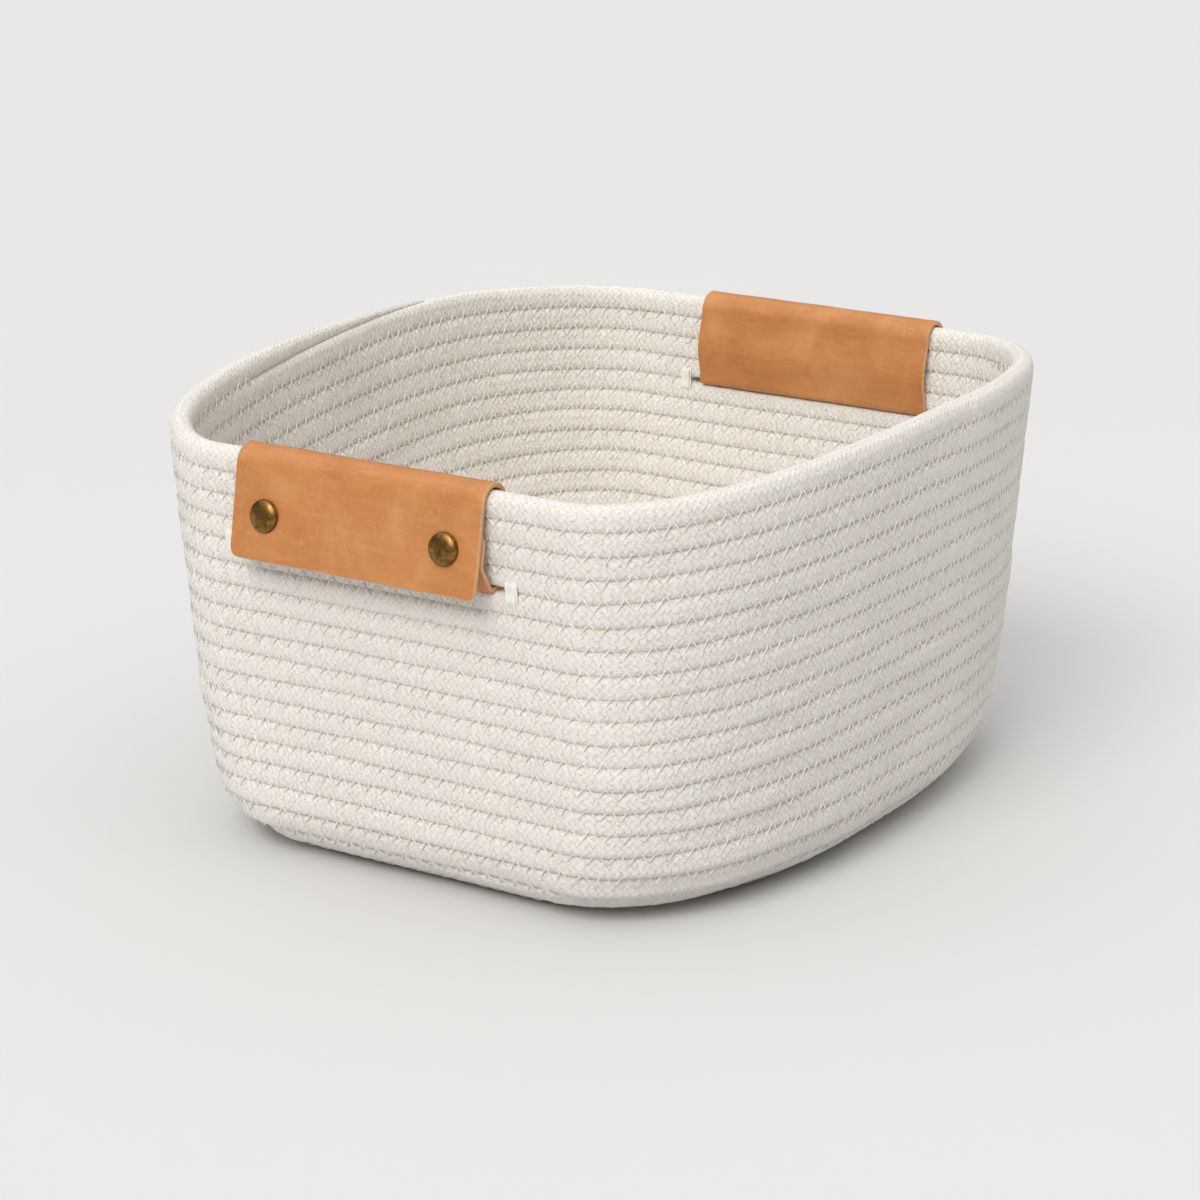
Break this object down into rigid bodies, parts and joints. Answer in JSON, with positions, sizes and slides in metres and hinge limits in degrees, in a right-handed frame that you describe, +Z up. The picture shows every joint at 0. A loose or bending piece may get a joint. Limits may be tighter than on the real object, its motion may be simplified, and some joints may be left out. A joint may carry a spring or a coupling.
{
  "type": "coiled rope storage basket",
  "caption": "Open storage basket of coiled cotton rope, rounded rectangular plan, with riveted leather wraps over the rim at both short ends.",
  "frame": {"origin": "on the floor, under the middle of the basket", "axes": "+X along the long way through the two handles, +Y across, +Z up"},
  "size_m": [0.327, 0.279, 0.1685],
  "materials": {
    "cotton_rope": "matt undyed cotton rope, fuzzy, coiled and zigzag stitched",
    "cotton_thread": "matt white sewing thread",
    "tan_leather": "smooth tan leather, soft sheen, pale cut edges",
    "antique_brass": "aged brass, brushed bright on top"
  },
  "bodies": {
    "basket": {"rope_base": "cotton_rope", "rope_heel": "cotton_rope", "rope_wall": "cotton_rope", "rope_rim_band": "cotton_rope", "seam_thread_base": "cotton_thread", "seam_thread_heel": "cotton_thread", "seam_thread_rim_front": "cotton_thread", "seam_thread_rim_back": "cotton_thread", "left_bar_tack_front": "cotton_thread", "left_bar_tack_back": "cotton_thread", "right_bar_tack_front": "cotton_thread", "right_bar_tack_back": "cotton_thread"},
    "left_handle": {"left_handle_leather": "tan_leather", "left_rivet_cap_front": "antique_brass", "left_rivet_post_front": "antique_brass", "left_rivet_cap_back": "antique_brass", "left_rivet_post_back": "antique_brass"},
    "right_handle": {"right_handle_leather": "tan_leather", "right_rivet_cap_front": "antique_brass", "right_rivet_post_front": "antique_brass", "right_rivet_cap_back": "antique_brass", "right_rivet_post_back": "antique_brass"}
  },
  "joints": [
    {"name": "left_handle_slide", "type": "slide", "parent": "basket", "child": "left_handle", "axis": [0, 1, 0], "range_m": [-0.005, 0.005]},
    {"name": "right_handle_slide", "type": "slide", "parent": "basket", "child": "right_handle", "axis": [0, 1, 0], "range_m": [-0.005, 0.005]}
  ]
}
